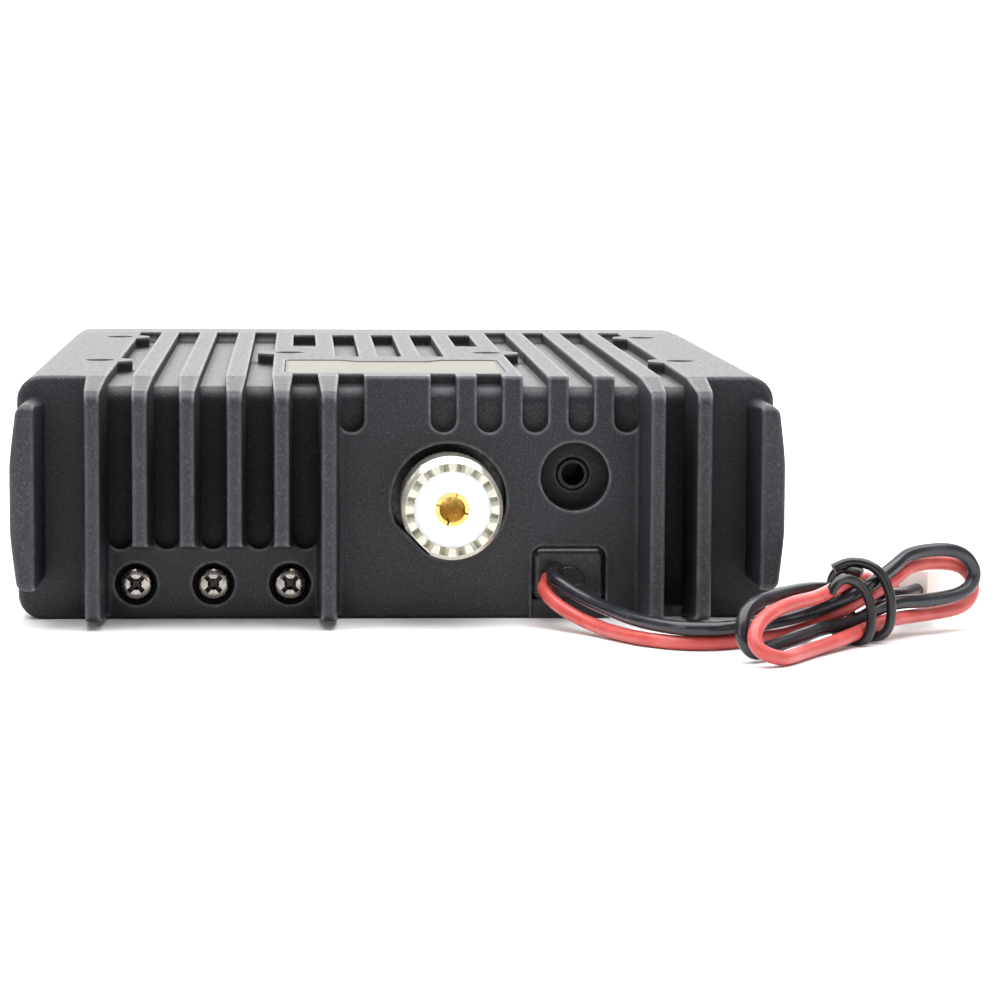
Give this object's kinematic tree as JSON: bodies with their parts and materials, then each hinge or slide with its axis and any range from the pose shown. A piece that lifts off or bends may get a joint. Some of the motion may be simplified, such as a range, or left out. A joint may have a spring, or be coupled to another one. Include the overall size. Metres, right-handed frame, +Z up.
{
  "type": "mobile radio transceiver",
  "caption": "Finned die-cast mobile radio transceiver with a threaded antenna socket, speaker jack, tied two-wire power cord, display, rotary knobs and push keys.",
  "frame": {"origin": "on the supporting surface, under the middle of the set without its cord", "axes": "+Z up, -Y towards the connector panel, +Y towards the control panel, +X to the right seen from the connector side"},
  "size_m": [0.1536, 0.2079, 0.0392],
  "materials": {
    "chassis": "black powder coat on die-cast alloy, fine grain",
    "bottom_cover": "black painted sheet",
    "bottom_cover_screws": "black zinc",
    "top_screws": "black zinc",
    "rear_screws": "dark nickel plate",
    "label_plate": "blank cream foil",
    "antenna_shell": "bright nickel plate",
    "antenna_screws": "zinc plate",
    "antenna_insulator": "white, smooth",
    "antenna_contact": "gold plate",
    "antenna_lead": "tinned",
    "jack_body": "moulded",
    "jack_bushing": "black",
    "cable_grommet": "satin rubber",
    "dc_leads": "tinned copper",
    "power_wire_red": "glossy insulation",
    "power_wire_black": "glossy insulation",
    "cable_tie": "coated twist wire",
    "plug_housing": "white nylon",
    "plug_terminals": "tinned",
    "main_board": "solder mask",
    "board_standoffs": "turned",
    "board_screws": "zinc plate",
    "power_transistors": "moulded epoxy",
    "transistor_tabs": "tinned copper",
    "thermal_pads": "silicone sheet",
    "transistor_nuts": "zinc plate",
    "rf_module": "moulded cap on a metal flange",
    "shield_cans": "tinned sheet",
    "filter_coils": "enamelled copper",
    "electrolytics": "sleeved can",
    "chips": "moulded epoxy",
    "board_headers": "moulded",
    "ribbon_cable": "flat cable",
    "speaker_frame": "zinc plate",
    "speaker_cone": "pressed paper",
    "speaker_magnet": "ferrite",
    "speaker_cloth": "black felt",
    "front_gasket": "foam rubber",
    "front_bezel": "fine grain",
    "bezel_screws": "black zinc",
    "display_window": "clear acrylic, smoked",
    "lcd_panel": "reflective panel",
    "lcd_backlight": "light guide",
    "front_board": "solder mask",
    "keypad_mat": "silicone rubber",
    "volume_control": "zinc plate",
    "channel_encoder": "zinc plate",
    "volume_shaft": "turned",
    "volume_knob": "fluted knob",
    "channel_shaft": "turned",
    "channel_knob": "fluted knob",
    "mic_socket": "moulded",
    "socket_contacts": "gold plate",
    "keys": "moulded keys"
  },
  "bodies": {
    "set": {"chassis": "chassis", "bottom_cover": "bottom_cover", "bottom_cover_screws": "bottom_cover_screws", "top_screws": "top_screws", "rear_screws": "rear_screws", "label_plate": "label_plate", "antenna_shell": "antenna_shell", "antenna_screws": "antenna_screws", "antenna_insulator": "antenna_insulator", "antenna_contact": "antenna_contact", "antenna_lead": "antenna_lead", "jack_body": "jack_body", "jack_bushing": "jack_bushing", "cable_grommet": "cable_grommet", "dc_leads": "dc_leads", "power_wire_red": "power_wire_red", "power_wire_black": "power_wire_black", "cable_tie": "cable_tie", "plug_housing": "plug_housing", "plug_terminals": "plug_terminals", "main_board": "main_board", "board_standoffs": "board_standoffs", "board_screws": "board_screws", "power_transistors": "power_transistors", "transistor_tabs": "transistor_tabs", "thermal_pads": "thermal_pads", "transistor_nuts": "transistor_nuts", "rf_module": "rf_module", "shield_cans": "shield_cans", "filter_coils": "filter_coils", "electrolytics": "electrolytics", "chips": "chips", "board_headers": "board_headers", "ribbon_cable": "ribbon_cable", "speaker_frame": "speaker_frame", "speaker_cone": "speaker_cone", "speaker_magnet": "speaker_magnet", "speaker_cloth": "speaker_cloth", "front_gasket": "front_gasket", "front_bezel": "front_bezel", "bezel_screws": "bezel_screws", "display_window": "display_window", "lcd_panel": "lcd_panel", "lcd_backlight": "lcd_backlight", "front_board": "front_board", "keypad_mat": "keypad_mat", "volume_control": "volume_control", "channel_encoder": "channel_encoder", "mic_socket": "mic_socket", "socket_contacts": "socket_contacts"},
    "volume_knob": {"volume_knob": "volume_knob", "volume_shaft": "volume_shaft"},
    "channel_knob": {"channel_knob": "channel_knob", "channel_shaft": "channel_shaft"},
    "key_1": {"key_1": "keys"},
    "key_2": {"key_2": "keys"},
    "key_3": {"key_3": "keys"},
    "key_4": {"key_4": "keys"},
    "key_5": {"key_5": "keys"},
    "key_6": {"key_6": "keys"}
  },
  "joints": [
    {"name": "volume_turn", "type": "hinge", "parent": "set", "child": "volume_knob", "pos_m": [0.044, 0.078, 0.0272], "axis": [0, 1, 0], "range_deg": [-150, 150]},
    {"name": "channel_turn", "type": "hinge", "parent": "set", "child": "channel_knob", "pos_m": [-0.044, 0.078, 0.0205], "axis": [0, 1, 0], "continuous": true},
    {"name": "key_1_press", "type": "slide", "parent": "set", "child": "key_1", "axis": [0, -1, 0], "range_m": [0, 0.0008], "stiffness_N_per_m": 400},
    {"name": "key_2_press", "type": "slide", "parent": "set", "child": "key_2", "axis": [0, -1, 0], "range_m": [0, 0.0008], "stiffness_N_per_m": 400},
    {"name": "key_3_press", "type": "slide", "parent": "set", "child": "key_3", "axis": [0, -1, 0], "range_m": [0, 0.0008], "stiffness_N_per_m": 400},
    {"name": "key_4_press", "type": "slide", "parent": "set", "child": "key_4", "axis": [0, -1, 0], "range_m": [0, 0.0008], "stiffness_N_per_m": 400},
    {"name": "key_5_press", "type": "slide", "parent": "set", "child": "key_5", "axis": [0, -1, 0], "range_m": [0, 0.0008], "stiffness_N_per_m": 400},
    {"name": "key_6_press", "type": "slide", "parent": "set", "child": "key_6", "axis": [0, -1, 0], "range_m": [0, 0.0008], "stiffness_N_per_m": 400}
  ]
}
